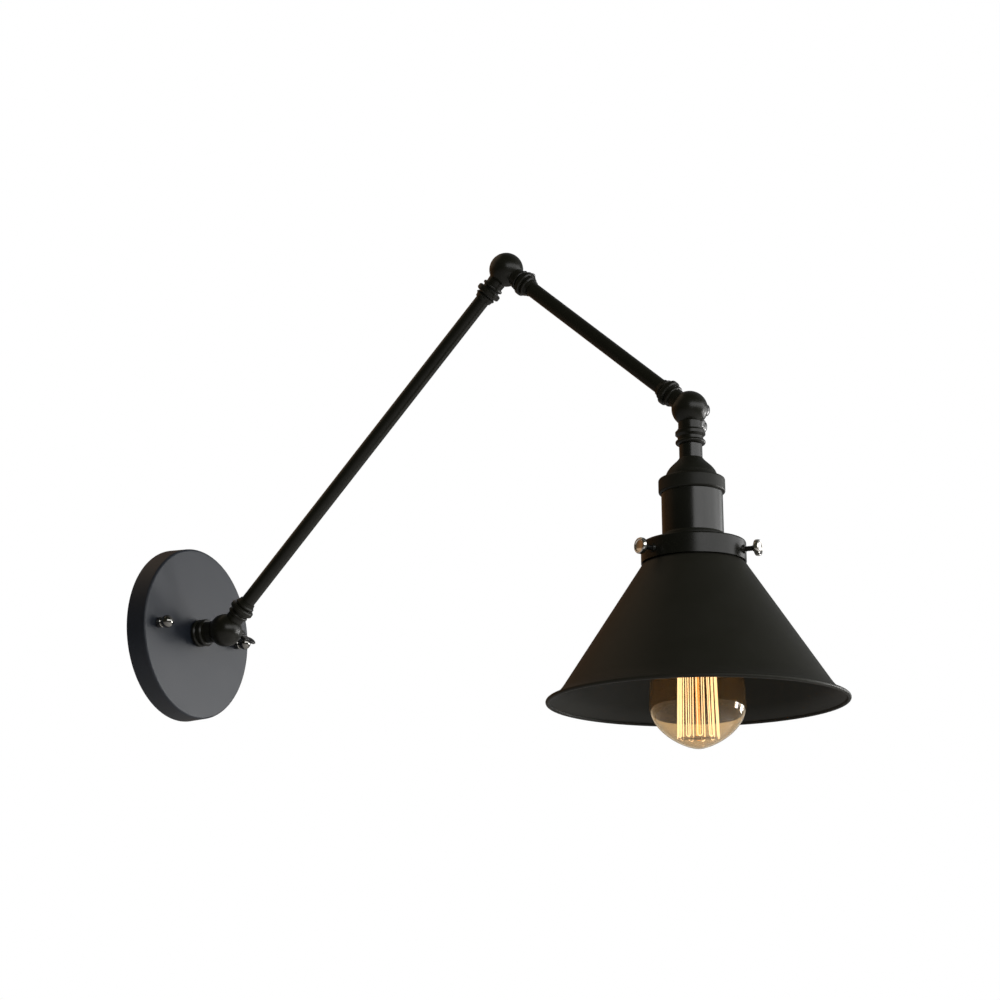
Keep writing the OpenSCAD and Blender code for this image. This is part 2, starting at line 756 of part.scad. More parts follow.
module terminal_screws() color(brass) below_head() for (s = [-1, 1]) translate([0, s * terminal_x, 0]) {
    drum(body_top - snug - over, body_top + terminal_length, terminal_r);
    ring(body_top - terminal_head_t - snug, terminal_head_t, terminal_head_r, terminal_head_t * edge_share);
}

// Spun cone shade: straight neck, cone, a flare that curves out of it and the rolled rim
flare_r = shade_r - flare_width;
flare_at = rim_at - flare_height;
shade_slope = atan((flare_r - shade_cone_r) / (flare_at - shade_cone_top));
shade_side = shade_sheet / cos(shade_slope);
flare_lead = flare_height * flare_lead_share;
flare_outside = curve([[flare_r, flare_at],
    [flare_r + flare_lead * tan(shade_slope), flare_at + flare_lead],
    [shade_r - bead_r - flare_lead, rim_at - bead_r - shade_sheet / 2 - flare_lead * flare_rise_share],
    [shade_r - bead_r, rim_at - bead_r - shade_sheet / 2]], curve_steps);
flare_inside = curve([[flare_r - shade_side, flare_at + shade_sheet / 2],
    [flare_r - shade_side + flare_lead * tan(shade_slope), flare_at + shade_sheet / 2 + flare_lead],
    [shade_r - bead_r - flare_lead, rim_at - bead_r + shade_sheet / 2 - flare_lead * flare_rise_share],
    [shade_r - bead_r, rim_at - bead_r + shade_sheet / 2]], curve_steps);

module shade() color(black) below_head() rotate_extrude() {
    polygon(concat([[shade_neck_r, shade_neck_top], [shade_neck_r, shade_cone_top - shade_sheet],
        [shade_cone_r - shade_sheet, shade_cone_top - shade_sheet], [shade_cone_r, shade_cone_top]],
        flare_outside, reversed(flare_inside), [[shade_cone_r - shade_side, shade_cone_top + shade_sheet / 2],
        [shade_neck_r - shade_sheet, shade_cone_top], [shade_neck_r - shade_sheet, shade_neck_top]]));
    polygon([[shade_neck_r - shade_sheet, shade_neck_top], [shade_neck_r + shade_lip_w, shade_neck_top],
        [shade_neck_r + shade_lip_w, shade_neck_top + shade_sheet],
        [shade_neck_r - shade_sheet, shade_neck_top + shade_sheet]]);
    translate([shade_r - bead_r, rim_at - bead_r]) circle(r = bead_r);
}

// Thumb screw with a dished round head
module shade_screw(angle) color(nickel) below_head() at_screw(angle) difference() {
    head_at = holder_r + screw_boss_t + screw_head_gap;
    union() {
        drum(shade_neck_r + screw_tip_gap, head_at + over, screw_r);
        taper(head_at - screw_neck_t, head_at, screw_r, screw_neck_r);
        ring(head_at, screw_head_t, screw_head_r, screw_head_t * edge_share);
    }
    taper(head_at + screw_head_t - screw_dish_depth, head_at + screw_head_t + over,
        screw_dish_r, screw_dish_r + over + screw_dish_depth);
}

module shade_screw_1() shade_screw(screw_angles[0]);
module shade_screw_2() shade_screw(screw_angles[1]);
module shade_screw_3() shade_screw(screw_angles[2]);

// Screw cap of the bulb
cap_r = bulb_cap_d / 2;
cap_top = contact_at + button_h + insulator_h;
cap_skirt_at = glass_top - cap_skirt_h;

module bulb_cap() color(brass) below_head() rotate_extrude() polygon([
    [button_r + insulator_rim, cap_top], [cap_r - cap_round, cap_top], [cap_r, cap_top + cap_round],
    [cap_r, glass_top], [glass_neck_r + snug, glass_top], [glass_neck_r + snug, cap_skirt_at],
    [cap_r - cap_wall, cap_skirt_at], [cap_r - cap_wall, cap_top + cap_round + cap_wall],
    [cap_r - cap_round - cap_wall, cap_top + cap_wall], [button_r + insulator_rim, cap_top + cap_wall]]);

// Black glass insulator with the centre contact of the bulb
module bulb_insulator() color([0.08, 0.07, 0.1]) below_head() {
    taper(contact_at + button_h, cap_top - snug, button_r, cap_r - cap_round);
    drum(contact_at + button_h, cap_top + cap_wall, button_r + insulator_rim - snug);
    ring(contact_at, button_h + over, button_r, button_h / 2);
}

// Glass: blunt tip, fullest near the rim of the shade, drawn in to the cap
glass_full_at = bulb_tip - (bulb_tip - glass_top) * glass_reach_share;
glass_tip_curve = [[0, bulb_tip], [bulb_r * tip_curve_shares[0], bulb_tip],
    [bulb_r * tip_curve_shares[1], bulb_tip - bulb_r * tip_curve_shares[2]], [bulb_r, glass_full_at]];
glass_side_curve = [[bulb_r, glass_full_at],
    [bulb_r, glass_full_at - (glass_full_at - glass_top) * side_curve_shares[0]],
    [glass_neck_r, glass_top + (glass_full_at - glass_top) * side_curve_shares[1]],
    [glass_neck_r, glass_top]];
glass_outer = concat(curve(glass_tip_curve, curve_steps), curve(glass_side_curve, curve_steps),
    [[glass_neck_r, cap_skirt_at + snug]]);

// The wall of the glass follows its outline, drawn in by the wall
function drawn_in(points, wall) = [for (i = [0:len(points) - 1])
    let (a = points[max(i - 1, 0)], b = points[min(i + 1, len(points) - 1)], d = (b - a) / norm(b - a))
    [max(points[i][0] + d[1] * wall, 0), i == 0 ? points[i][1] - wall : points[i][1] - d[0] * wall]];

module bulb_glass() color(amber) below_head() rotate_extrude()
    polygon(concat(glass_outer, reversed(drawn_in(glass_outer, glass_wall))));

// Glass stem: flare sealed in the neck, press and rod that carries the hooks
module bulb_stem() color(amber) below_head() {
    taper(cap_skirt_at + snug, cap_skirt_at + stem_flare_h, glass_neck_r - glass_wall - stem_gap, stem_r);
    ring(cap_skirt_at + stem_flare_h - over, stem_press_h, stem_r, stem_r * edge_share);
    drum(glass_top + stem_press_h / 2, cage_end, rod_r);
}

// Cylinder between two points
module wire(a, b, r) {
    d = b - a;
    translate(a) rotate([0, acos(d[2] / norm(d)), atan2(d[1], d[0])])
        cylinder(h = norm(d), r = r, $fn = wire_facets);
}

function cage_point(i, r, z) = [r * cos(i * 180 / cage_hooks), r * sin(i * 180 / cage_hooks), z];
function cage_knot(i) = i % 2 == 0 ? cage_point(i, cage_top_d / 2, cage_top)
    : cage_point(i, cage_d / 2, cage_end - collar_ring_h / 2);

// Two metal collars on the rod, with a hook to every bend of the filament
module filament_hooks() color(steel) below_head() {
    pipe(cage_top - collar_ring_h / 2, cage_top + collar_ring_h / 2, collar_ring_r, rod_r + snug);
    pipe(cage_end - collar_ring_h, cage_end, collar_ring_r, rod_r + snug);
    for (i = [0:2 * cage_hooks - 1]) {
        knot = cage_knot(i);
        reach = norm([knot[0], knot[1]]) - knot_r - snug;
        wire(cage_point(i, collar_ring_r - hook_r, knot[2]), cage_point(i, reach, knot[2]), hook_r);
    }
}

// One wire that zigzags round the cage between the upper and lower hooks
module filament() color([1, 0.7, 0.2]) below_head() for (i = [0:2 * cage_hooks - 1]) {
    wire(cage_knot(i), cage_knot(i + 1), strand_r);
    translate(cage_knot(i)) sphere(r = knot_r, $fn = wire_facets + 1);
}

mounting_strap();
ground_screw();
plate_studs();
wall_plate();
ball_nuts();
base_nipple();
nipple_washer();
nipple_nut();
base_knuckle();
base_friction_washer();
base_wing_screw();
long_arm_base_knuckle();
long_arm_tube();
long_arm_elbow_knuckle();
elbow_friction_washer();
elbow_wing_screw();
short_arm_elbow_knuckle();
short_arm_tube();
short_arm_head_knuckle();
head_friction_washer();
head_wing_screw();
head_knuckle();
head_nipple();
neck_sleeve();
socket_cap();
cap_nut();
socket_sleeve();
sleeve_bead();
ring_nut();
shade_ring();
socket_body();
screw_shell();
centre_contact();
terminal_screws();
shade();
shade_screw_1();
shade_screw_2();
shade_screw_3();
bulb_cap();
bulb_insulator();
bulb_glass();
bulb_stem();
filament_hooks();
filament();
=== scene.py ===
"""Looks of a swing-arm wall lamp: powder-coated arms and shade, nickel screws and a lit cage-filament bulb.

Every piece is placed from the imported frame, in metres. The wall is the plane y = 0, the lamp stands out
along -Y, the three hinges turn about X, and +Z is up.
"""
import json
import math

import bpy
from mathutils import Matrix, Vector


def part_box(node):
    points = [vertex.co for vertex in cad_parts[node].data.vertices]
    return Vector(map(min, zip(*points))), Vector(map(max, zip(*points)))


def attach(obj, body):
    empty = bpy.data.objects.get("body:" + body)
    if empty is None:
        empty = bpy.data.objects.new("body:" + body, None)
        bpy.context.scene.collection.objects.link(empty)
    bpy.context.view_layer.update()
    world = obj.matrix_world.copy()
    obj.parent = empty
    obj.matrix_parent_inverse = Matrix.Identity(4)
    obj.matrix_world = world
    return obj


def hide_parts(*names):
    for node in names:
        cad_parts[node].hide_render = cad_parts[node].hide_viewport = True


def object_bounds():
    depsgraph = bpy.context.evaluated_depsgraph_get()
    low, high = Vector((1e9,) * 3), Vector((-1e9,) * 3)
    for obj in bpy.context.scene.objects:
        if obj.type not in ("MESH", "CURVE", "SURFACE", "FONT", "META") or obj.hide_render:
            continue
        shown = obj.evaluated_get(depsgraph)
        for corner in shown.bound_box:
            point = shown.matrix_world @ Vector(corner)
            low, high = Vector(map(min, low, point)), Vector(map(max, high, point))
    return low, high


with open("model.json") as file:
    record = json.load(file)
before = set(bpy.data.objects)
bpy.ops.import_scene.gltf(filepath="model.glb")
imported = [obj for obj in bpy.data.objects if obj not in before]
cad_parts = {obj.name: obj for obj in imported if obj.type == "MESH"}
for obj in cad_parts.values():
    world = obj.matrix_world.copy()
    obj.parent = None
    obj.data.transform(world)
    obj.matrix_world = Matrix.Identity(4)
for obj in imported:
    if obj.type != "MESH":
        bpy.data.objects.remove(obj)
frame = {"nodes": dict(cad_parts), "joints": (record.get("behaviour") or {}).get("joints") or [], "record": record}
cad_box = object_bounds()

MM = 0.001
TURN = 2 * math.pi
QUARTER = math.pi / 2
WHITE = (1, 1, 1, 1)

# Places and slots read from the frame
HINGES = {joint["name"]: Vector(joint["pos_m"]) for joint in frame["joints"] if "hinge" in joint["name"]}
HEAD_HINGE = HINGES["head_hinge"]
OBJECT_MIDDLE = (Vector(cad_box[0]) + Vector(cad_box[1])) / 2
SLOTS = {part["node"]: part["material_slot"] for part in frame["record"]["subparts"]}


# Camera: the photograph's viewpoint, fitted to the three hinges, the shade's rim and the wall plate

CAMERA_PLACE = Vector((-1.1372, -0.8805, -0.2841))
CAMERA_BACK = Vector((-0.8443, -0.4702, -0.2571))
CAMERA_ROLL = math.radians(-0.21)
CAMERA_REACH = 30
PHOTO_WIDTH = 1000
FOCAL_PIXELS = 2140
SENSOR = 36.0


def aim_camera():
    """Makes the scene's camera."""
    data = bpy.data.cameras.new("photo_camera")
    data.sensor_fit = "HORIZONTAL"
    data.sensor_width = SENSOR
    data.lens = SENSOR * FOCAL_PIXELS / PHOTO_WIDTH
    data.clip_end = CAMERA_REACH
    camera = bpy.data.objects.new("photo_camera", data)
    bpy.context.scene.collection.objects.link(camera)
    back = CAMERA_BACK.normalized()
    right = Vector((0, 0, 1)).cross(back).normalized()
    up = back.cross(right)
    facing = Matrix((right, up, back)).transposed().to_4x4()
    camera.matrix_world = Matrix.Translation(CAMERA_PLACE) @ facing @ Matrix.Rotation(CAMERA_ROLL, 4, "Z")
    bpy.context.scene.camera = camera


# Shader nodes

def node(tree, kind, place=(0, 0), **values):
    """Adds a shader node and sets its properties or its unlinked inputs by name."""
    made = tree.nodes.new(kind)
    made.location = place
    for name, value in values.items():
        if hasattr(made, name):
            setattr(made, name, value)
        else:
            made.inputs[name.replace("_", " ")].default_value = value
    return made


def new_material(name, **values):
    """A material with one principled surface and values on its sockets, and its node tree and surface."""
    material = bpy.data.materials.new(name)
    material.use_nodes = True
    tree = material.node_tree
    tree.nodes.clear()
    surface = node(tree, "ShaderNodeBsdfPrincipled", (200, 0), **values)
    surface.name = "Surface"
    output = node(tree, "ShaderNodeOutputMaterial", (500, 0))
    output.name = "Output"
    tree.links.new(surface.outputs["BSDF"], output.inputs["Surface"])
    return material, tree, surface


def seen_directly(tree):
    """1 for what the camera sees, also through glass, and 0 for light and gloss."""
    path = node(tree, "ShaderNodeLightPath")
    seen = node(tree, "ShaderNodeMath", operation="MAXIMUM")
    tree.links.new(path.outputs["Is Camera Ray"], seen.inputs[0])
    tree.links.new(path.outputs["Is Transmission Ray"], seen.inputs[1])
    return seen.outputs["Value"]


# Studio: white background, pale floor, tall windows in front of the wall and a dim warm room beside it

AMBIENT = (0.22, 0.215, 0.21, 1)
DARK_ROOM = (0.04, 0.041, 0.03, 1)
# What gloss shows of the room: its colour, the way to it, and where along that way it starts and is full
ROOM_SIDES = (
    ("pale_side", (0.21, 0.215, 0.22, 1), Vector((0.95, -0.25, 0.1)), -0.1, 0.9),
    ("warm_side", (0.2, 0.1, 0.04, 1), Vector((0.25, 0.95, 0.15)), 0.45, 1.0),
)
FLOOR_HEIGHT = -1.0
FLOOR_SIZE = 8.0
FLOOR_COLOUR = (0.82, 0.81, 0.8, 1)
FLOOR_ROUGHNESS = 0.9
# To the camera the floor is lifted towards white: by this share near the lamp, and all the way at its rim
FLOOR_LIFT = 0.5
FLOOR_FADE = (0.9, 3.7)
LAMP_DISTANCE = 2.0
# Name, heading from straight in front of the wall, height angle, width and height, power, colour
LAMPS = (
    ("near_window", -42, 14, (1.15, 0.8), 9.0, (1.0, 1.0, 1.0)),
    ("middle_window", -9, 14, (1.15, 0.8), 8.5, (1.0, 1.0, 1.0)),
    ("right_window", 24, 14, (1.15, 0.8), 7.5, (1.0, 1.0, 1.0)),
    ("far_window", 57, 4, (1.15, 0.8), 6.0, (1.0, 1.0, 1.0)),
    ("right_pane", 36, -7, (0.34, 0.5), 9.0, (1.0, 0.99, 0.97)),
    ("far_pane", 60, -5, (0.34, 0.5), 9.0, (1.0, 0.99, 0.97)),
    ("warm_fill", -172, 46, (1.8, 1.8), 3.6, (1.0, 0.8, 0.58)),
)


def paint_world():
    """White to the camera and through glass, a dark room with two lit sides in gloss, soft grey as light."""
    world = bpy.data.worlds.new("studio")
    world.use_nodes = True
    bpy.context.scene.world = world
    tree = world.node_tree
    tree.nodes.clear()
    way = node(tree, "ShaderNodeTexCoord")
    room = None
    for label, colour, heading, start, full in ROOM_SIDES:
        facing = node(tree, "ShaderNodeVectorMath", operation="DOT_PRODUCT")
        facing.inputs[1].default_value = heading.normalized()
        tree.links.new(way.outputs["Generated"], facing.inputs[0])
        share = node(tree, "ShaderNodeMapRange", interpolation_type="SMOOTHSTEP", From_Min=start,
                     From_Max=full)
        tree.links.new(facing.outputs["Value"], share.inputs["Value"])
        side = node(tree, "ShaderNodeMix", data_type="RGBA", A=DARK_ROOM, B=colour)
        side.name = label
        tree.links.new(share.outputs["Result"], side.inputs["Factor"])
        if room:
            tree.links.new(room, side.inputs["A"])
        room = side.outputs["Result"]
    path = node(tree, "ShaderNodeLightPath")
    glossy = node(tree, "ShaderNodeMix", data_type="RGBA", A=AMBIENT)
    tree.links.new(path.outputs["Is Glossy Ray"], glossy.inputs["Factor"])
    tree.links.new(room, glossy.inputs["B"])
    white = node(tree, "ShaderNodeMix", data_type="RGBA", B=WHITE)
    tree.links.new(seen_directly(tree), white.inputs["Factor"])
    tree.links.new(glossy.outputs["Result"], white.inputs["A"])
    background = node(tree, "ShaderNodeBackground")
    tree.links.new(white.outputs["Result"], background.inputs["Color"])
    output = node(tree, "ShaderNodeOutputWorld")
    tree.links.new(background.outputs["Background"], output.inputs["Surface"])


def paint_floor():
    """Pale matt floor that keeps shadows and runs out into the white background."""
    paint, tree, surface = new_material("studio_floor", Base_Color=FLOOR_COLOUR, Roughness=FLOOR_ROUGHNESS)
    place = node(tree, "ShaderNodeTexCoord")
    reach = node(tree, "ShaderNodeVectorMath", operation="LENGTH")
    tree.links.new(place.outputs["Object"], reach.inputs[0])
    near, rim = FLOOR_FADE
    fade = node(tree, "ShaderNodeMapRange", interpolation_type="SMOOTHSTEP", From_Min=near, From_Max=rim,
                To_Min=FLOOR_LIFT)
    tree.links.new(reach.outputs["Value"], fade.inputs["Value"])
    share = node(tree, "ShaderNodeMath", operation="MULTIPLY")
    tree.links.new(fade.outputs["Result"], share.inputs[0])
    tree.links.new(seen_directly(tree), share.inputs[1])
    white = node(tree, "ShaderNodeEmission", Color=WHITE)
    mix = node(tree, "ShaderNodeMixShader")
    tree.links.new(share.outputs["Value"], mix.inputs["Fac"])
    tree.links.new(surface.outputs["BSDF"], mix.inputs[1])
    tree.links.new(white.outputs["Emission"], mix.inputs[2])
    tree.links.new(mix.outputs["Shader"], tree.nodes["Output"].inputs["Surface"])
    return paint


def lay_floor():
    """The floor under the lamp."""
    place = (OBJECT_MIDDLE.x, OBJECT_MIDDLE.y, FLOOR_HEIGHT)
    bpy.ops.mesh.primitive_plane_add(size=FLOOR_SIZE, location=place)
    floor = bpy.context.object
    floor.name = "studio_floor"
    floor.data.materials.append(paint_floor())


def hang_lamp(name, heading, rise, size, power, colour):
    """A soft rectangular lamp that faces the object from a heading and a height angle, in degrees."""
    data = bpy.data.lights.new(name, "AREA")
    data.shape = "RECTANGLE"
    data.size, data.size_y = size
    data.energy = power
    data.color = colour
    lamp = bpy.data.objects.new(name, data)
    bpy.context.scene.collection.objects.link(lamp)
    turn, lift = math.radians(heading), math.radians(rise)
    back = Vector((math.sin(turn) * math.cos(lift), -math.cos(turn) * math.cos(lift), math.sin(lift)))
    lamp.location = OBJECT_MIDDLE + back * LAMP_DISTANCE
    lamp.rotation_euler = back.to_track_quat("Z", "Y").to_euler()
    lamp.visible_camera = False


# Shader groups that several finishes share

SCRATCH_BAND = (0.35, 0.7)


def new_group(name, inputs, outputs):
    """An empty shader group with named number inputs and named outputs."""
    group = bpy.data.node_groups.new(name, "ShaderNodeTree")
    for label, value in inputs:
        socket = group.interface.new_socket(name=label, in_out="INPUT", socket_type="NodeSocketFloat")
        socket.default_value = value
    for label in outputs:
        group.interface.new_socket(name=label, in_out="OUTPUT", socket_type="NodeSocketFloat")
    return group, node(group, "NodeGroupInput", (-800, 0)), node(group, "NodeGroupOutput", (800, 0))


def make_grain_group():
    """Powder coat: fine bumps, and a slow mottle for colour and roughness."""
    group, given, out = new_group("powder_grain", (("Grain Scale", 1500), ("Mottle Scale", 60)),
                                  ("Height", "Mottle"))
    place = node(group, "ShaderNodeTexCoord")
    fine = node(group, "ShaderNodeTexNoise", Detail=3, Roughness=0.6)
    slow = node(group, "ShaderNodeTexNoise", Detail=4, Roughness=0.55)
    for texture, scale, result in ((fine, "Grain Scale", "Height"), (slow, "Mottle Scale", "Mottle")):
        group.links.new(place.outputs["Object"], texture.inputs["Vector"])
        group.links.new(given.outputs[scale], texture.inputs["Scale"])
        group.links.new(texture.outputs["Fac"], out.inputs[result])
    return group


def make_scratch_group():
    """Fine turning and handling scratches, long one way."""
    group, given, out = new_group("fine_scratches", (("Scale", 900), ("Stretch", 14)), ("Height", "Mask"))
    place = node(group, "ShaderNodeTexCoord")
    stretched = node(group, "ShaderNodeCombineXYZ", X=1.0, Y=1.0)
    group.links.new(given.outputs["Stretch"], stretched.inputs["Z"])
    scaled = node(group, "ShaderNodeVectorMath", operation="MULTIPLY")
    group.links.new(place.outputs["Object"], scaled.inputs[0])
    group.links.new(stretched.outputs["Vector"], scaled.inputs[1])
    lines = node(group, "ShaderNodeTexNoise", Detail=2, Roughness=0.5)
    group.links.new(scaled.outputs["Vector"], lines.inputs["Vector"])
    group.links.new(given.outputs["Scale"], lines.inputs["Scale"])
    faint, deep = SCRATCH_BAND
    mask = node(group, "ShaderNodeMapRange", From_Min=faint, From_Max=deep)
    group.links.new(lines.outputs["Fac"], mask.inputs["Value"])
    group.links.new(lines.outputs["Fac"], out.inputs["Height"])
    group.links.new(mask.outputs["Result"], out.inputs["Mask"])
    return group


def vary(tree, factor, low, high, target):
    """Runs a socket between two numbers or two colours by a factor."""
    if isinstance(low, tuple):
        mix = node(tree, "ShaderNodeMix", (-200, 100), data_type="RGBA", A=(*low, 1), B=(*high, 1))
        tree.links.new(factor, mix.inputs["Factor"])
        tree.links.new(mix.outputs["Result"], target)
        return
    band = node(tree, "ShaderNodeMapRange", (-200, -100), To_Min=low, To_Max=high)
    tree.links.new(factor, band.inputs["Value"])
    tree.links.new(band.outputs["Result"], target)


def bump(tree, height, strength, depth):
    """Feeds a height into the surface's normal."""
    relief = node(tree, "ShaderNodeBump", (-50, -300), Strength=strength, Distance=depth)
    tree.links.new(height, relief.inputs["Height"])
    tree.links.new(relief.outputs["Normal"], tree.nodes["Surface"].inputs["Normal"])


# Finishes: dark and light are the two ends of the mottle's colour, smooth and rough those of its gloss

GRAIN = make_grain_group()
SCRATCHES = make_scratch_group()
GRAIN_DEPTH = 0.05 * MM
SCRATCH_DEPTH = 0.03 * MM
SCRATCH_STRENGTH = 0.05
GLASS_IOR = 1.48
DUST_SHADE = 0.97
GLAZE_SMOOTH, GLAZE_ROUGH, GLAZE_STRENGTH = 0.22, 0.35, 0.08
GLOW_STRENGTH = 2.0
GLOW_ROUGHNESS = 0.6


def coated(name, dark, light, smooth, rough, strength, grain, gloss=0.5):
    """Powder-coated or lacquered steel."""
    material, tree, surface = new_material(name, Specular_IOR_Level=gloss)
    film = node(tree, "ShaderNodeGroup", (-600, 0), node_tree=GRAIN, Grain_Scale=grain)
    vary(tree, film.outputs["Mottle"], dark, light, surface.inputs["Base Color"])
    vary(tree, film.outputs["Mottle"], smooth, rough, surface.inputs["Roughness"])
    bump(tree, film.outputs["Height"], strength, GRAIN_DEPTH)
    return material


def metal(name, dark, light, smooth, rough):
    """Bare or plated metal with fine scratches."""
    material, tree, surface = new_material(name, Metallic=1)
    marks = node(tree, "ShaderNodeGroup", (-600, 0), node_tree=SCRATCHES)
    vary(tree, marks.outputs["Mask"], dark, light, surface.inputs["Base Color"])
    vary(tree, marks.outputs["Mask"], smooth, rough, surface.inputs["Roughness"])
    bump(tree, marks.outputs["Height"], SCRATCH_STRENGTH, SCRATCH_DEPTH)
    return material


def glass(name, tint, rough, clearness=1, **values):
    """Clear glass with a tint; a faint film of dust varies its colour and roughness."""
    material, tree, surface = new_material(name, Transmission_Weight=clearness, IOR=GLASS_IOR, **values)
    film = node(tree, "ShaderNodeGroup", (-600, 0), node_tree=GRAIN, Mottle_Scale=40)
    dusty = tuple(DUST_SHADE * channel for channel in tint)
    vary(tree, film.outputs["Mottle"], tint, dusty, surface.inputs["Base Color"])
    vary(tree, film.outputs["Mottle"], 0, rough, surface.inputs["Roughness"])
    return material


def glaze(name, dark, light, coat):
    """Fired glaze, gloss enamel or pressed fibre over a mottled body."""
    material, tree, surface = new_material(name, Coat_Weight=coat)
    film = node(tree, "ShaderNodeGroup", (-600, 0), node_tree=GRAIN, Grain_Scale=500, Mottle_Scale=120)
    vary(tree, film.outputs["Mottle"], dark, light, surface.inputs["Base Color"])
    vary(tree, film.outputs["Mottle"], GLAZE_SMOOTH, GLAZE_ROUGH, surface.inputs["Roughness"])
    bump(tree, film.outputs["Height"], GLAZE_STRENGTH, GRAIN_DEPTH)
    return material


def glow(name, cooler, hotter, body):
    """Lit carbon thread: its glow runs between a cooler and a hotter colour along it."""
    material, tree, surface = new_material(name, Roughness=GLOW_ROUGHNESS, Emission_Strength=GLOW_STRENGTH)
    film = node(tree, "ShaderNodeGroup", (-600, 0), node_tree=GRAIN, Grain_Scale=900, Mottle_Scale=260)
    vary(tree, film.outputs["Mottle"], cooler, hotter, surface.inputs["Emission Color"])
    vary(tree, film.outputs["Mottle"], *body, surface.inputs["Base Color"])
    return material


FINISHES = {
    "black_coat": coated("satin_black", (0.0068, 0.0067, 0.0038), (0.0105, 0.0104, 0.007),
                         0.26, 0.33, 0.1, 1500, 0.28),
    "plate_coat": coated("plate_black", (0.0075, 0.0108, 0.0175), (0.0125, 0.0162, 0.0238),
                         0.42, 0.52, 0.22, 1300, 0.44),
    "shade_coat": coated("shade_black", (0.0122, 0.0118, 0.0078), (0.0175, 0.0172, 0.0125),
                         0.42, 0.52, 0.14, 1400, 0.2),
    "cap_coat": coated("cap_black", (0.0082, 0.0084, 0.0052), (0.0125, 0.0128, 0.009),
                       0.42, 0.5, 0.12, 1500, 0.2),
    "sleeve_coat": coated("sleeve_black", (0.0055, 0.0058, 0.0038), (0.009, 0.0092, 0.0068),
                          0.22, 0.28, 0.05, 1500, 0.42),
    "ring_coat": coated("ring_black", (0.0055, 0.0058, 0.0038), (0.009, 0.0092, 0.0068),
                        0.24, 0.32, 0.05, 1500, 0.28),
    "screw_black": coated("screw_black", (0.007, 0.0068, 0.006), (0.014, 0.0135, 0.012),
                          0.2, 0.3, 0.1, 1500),
    "green_screw": coated("green_screw", (0.05, 0.2, 0.07), (0.08, 0.27, 0.1), 0.3, 0.4, 0.1, 900),
    "polished_nickel": metal("polished_nickel", (0.72, 0.69, 0.64), (0.8, 0.78, 0.74), 0.08, 0.2),
    # Nickel darkened well below the screws' nickel: painted shade standing in for the dark room the ball nuts
    # reflect.
    "nut_nickel_painted_shade": metal("nut_nickel_painted_shade", (0.2, 0.195, 0.18), (0.3, 0.295, 0.28), 0.1, 0.2),
    "zinc_steel": metal("zinc_steel", (0.5, 0.51, 0.52), (0.66, 0.67, 0.66), 0.28, 0.42),
    "brass_sheet": metal("pressed_brass", (0.68, 0.5, 0.22), (0.8, 0.62, 0.32), 0.2, 0.34),
    "hook_wire": metal("support_wire", (0.35, 0.32, 0.29), (0.5, 0.46, 0.42), 0.3, 0.45),
    "porcelain": glaze("porcelain", (0.84, 0.82, 0.76), (0.9, 0.885, 0.84), 0.6),
    "friction_fibre": glaze("friction_fibre", (0.2, 0.06, 0.035), (0.3, 0.1, 0.06), 0),
    "black_glass": glaze("cap_glass", (0.012, 0.01, 0.014), (0.03, 0.025, 0.035), 0.8),
    "amber_glass": glass("amber_glass", (0.79, 0.63, 0.41), 0.02, 0.955),
    "clear_glass": glass("clear_glass", (0.96, 0.95, 0.92), 0.03),
    # The bulb stem's glass has a faint orange emission: a painted glow, since the stem is no lamp.
    "stem_painted_glow": glass("stem_glass_painted_glow", (1.0, 0.8, 0.5), 0.05,
                       Emission_Color=(1.0, 0.4, 0.08, 1), Emission_Strength=0.5),
    "glowing_filament": glow("glowing_filament", (1.0, 0.72, 0.42), (1.0, 0.93, 0.8),
                             ((0.9, 0.5, 0.2), (1.0, 0.7, 0.4))),
}
# The bulb stem's finish is a painted glow, and the ball nuts' finish is painted shade.
OWN_FINISH = {"wall_plate": "plate_coat", "neck_sleeve": "sleeve_coat", "socket_sleeve": "sleeve_coat",
              "shade_ring": "ring_coat", "sleeve_bead": "cap_coat", "socket_cap": "cap_coat",
              "ball_nuts": "nut_nickel_painted_shade", "bulb_stem": "stem_painted_glow"}


def finish_frame():
    """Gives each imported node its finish."""
    for name, part in frame["nodes"].items():
        part.data.materials.clear()
        part.data.materials.append(FINISHES[OWN_FINISH.get(name, SLOTS[name])])


# Modelling

# A ring this small closes a pole, and rings this close become one
POLE = 1e-7
WELD = 1e-6


def take(*pieces):
    """Selects these pieces alone and works on the first."""
    bpy.ops.object.select_all(action="DESELECT")
    for piece in pieces:
        piece.select_set(True)
    bpy.context.view_layer.objects.active = pieces[0]


def finish_piece(piece, body, cad_node, finish, smooth=60):
    """Shades a piece smooth up to an angle, paints it, and says what it rides on and stands for."""
    take(piece)
    bpy.ops.object.shade_smooth_by_angle(angle=math.radians(smooth))
    piece.data.materials.clear()
    piece.data.materials.append(FINISHES[finish])
    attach(piece, body)
    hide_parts(cad_node)
    piece.select_set(False)


def put(piece, matrix):
    """Moves a piece to its place and leaves the place in its mesh."""
    take(piece)
    piece.matrix_world = matrix
    bpy.ops.object.transform_apply(location=True, rotation=True, scale=True)
    return piece


def joined(pieces):
    """Joins pieces into the first."""
    take(*pieces)
    bpy.ops.object.join()
    return pieces[0]


def apply_modifier(piece, name, kind, **values):
    """Adds a modifier with its values and applies it."""
    bpy.context.view_layer.objects.active = piece
    modifier = piece.modifiers.new(name, kind)
    for key, value in values.items():
        setattr(modifier, key, value)
    bpy.ops.object.modifier_apply(modifier=name)


def on_axis(height):
    """Where a ring's middle is on a piece that turns true."""
    return Vector((0, 0, height))


